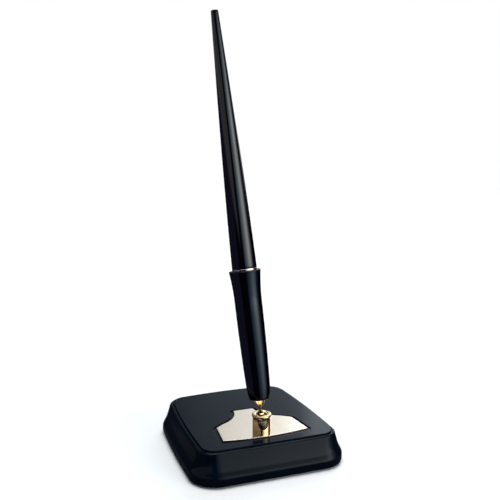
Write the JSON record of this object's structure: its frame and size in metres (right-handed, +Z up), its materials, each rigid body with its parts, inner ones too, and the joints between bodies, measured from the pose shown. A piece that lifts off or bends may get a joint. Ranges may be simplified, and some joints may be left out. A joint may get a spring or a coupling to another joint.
{
  "type": "desk pen holder",
  "caption": "Weighted desk base with a name plate and a ball-jointed trumpet socket that holds a long tapered pen.",
  "frame": {"origin": "centre of the footprint on the surface the feet rest on", "axes": "+Z up; the name plate and swivel post are towards -Y, the front; +X to the right seen from the front"},
  "size_m": [0.0834, 0.0894, 0.2309],
  "materials": {
    "base_plastic": "satin-gloss black",
    "plate_metal": "pale champagne gold, polished with faint brushing",
    "adhesive": "double-sided tape",
    "ballast_iron": "as cast",
    "screw_steel": "zinc plated",
    "cover_plastic": "fine moulded texture",
    "foot_rubber": "matt",
    "gold_metal": "polished gold plate",
    "seat_nylon": "natural nylon",
    "socket_plastic": "glossy black",
    "liner_plastic": "smooth grey plastic",
    "grip_rubber": "matt",
    "pen_plastic": "glossy black",
    "feed_plastic": "matt black",
    "nib_steel": "polished steel",
    "ring_gold": "pale rose-gold plate, polished",
    "cartridge_plastic": "clear plastic, full of blue ink"
  },
  "bodies": {
    "base": {"base_shell": "base_plastic", "name_plate": "plate_metal", "plate_adhesive": "adhesive", "ballast_weight": "ballast_iron", "ballast_screws": "screw_steel", "bottom_cover": "cover_plastic", "cover_screws": "screw_steel", "rubber_feet": "foot_rubber", "swivel_post": "gold_metal", "retaining_collar": "gold_metal", "post_washer": "screw_steel", "post_nut": "gold_metal", "tension_spring": "screw_steel"},
    "seat": {"ball_seat": "seat_nylon"},
    "stem": {"ball_stem": "gold_metal", "friction_washer": "seat_nylon", "stem_nut": "gold_metal"},
    "socket": {"pen_socket": "socket_plastic", "socket_liner": "liner_plastic", "grip_ring": "grip_rubber", "mouth_ring": "socket_plastic"},
    "pen": {"grip_section": "pen_plastic", "feed": "feed_plastic", "nib": "nib_steel"},
    "ring": {"trim_ring": "ring_gold"},
    "barrel": {"pen_barrel": "pen_plastic"},
    "cartridge": {"ink_cartridge": "cartridge_plastic"}
  },
  "joints": [
    {"name": "swivel_turn", "type": "hinge", "parent": "base", "child": "seat", "pos_m": [0, -0.02349, 0.02472], "axis": [0, 0, 1], "continuous": true},
    {"name": "swivel_tilt", "type": "hinge", "parent": "seat", "child": "stem", "pos_m": [0, -0.02349, 0.02472], "axis": [-0.8957, -0.4446, 0], "range_deg": [-44, 25.9]},
    {"name": "socket_spin", "type": "hinge", "parent": "stem", "child": "socket", "pos_m": [-0.00084, -0.0218, 0.03657], "axis": [-0.0699, 0.1409, 0.9876], "continuous": true},
    {"name": "pen_pull", "type": "slide", "parent": "socket", "child": "pen", "axis": [-0.0699, 0.1409, 0.9876], "range_m": [0, 0.058]},
    {"name": "barrel_unscrew", "type": "hinge", "parent": "pen", "child": "ring", "pos_m": [-0.00539, -0.01264, 0.10076], "axis": [-0.0699, 0.1409, 0.9876], "range_deg": [0, 1800]},
    {"name": "barrel_travel", "type": "slide", "parent": "ring", "child": "barrel", "axis": [-0.0699, 0.1409, 0.9876], "range_m": [0, 0.00401]},
    {"name": "cartridge_unplug", "type": "slide", "parent": "pen", "child": "cartridge", "axis": [-0.0699, 0.1409, 0.9876], "range_m": [0, 0.008]}
  ],
  "couplings": [
    {"joint": "barrel_travel", "follows": "barrel_unscrew", "m_per_rad": 0.00012732}
  ]
}
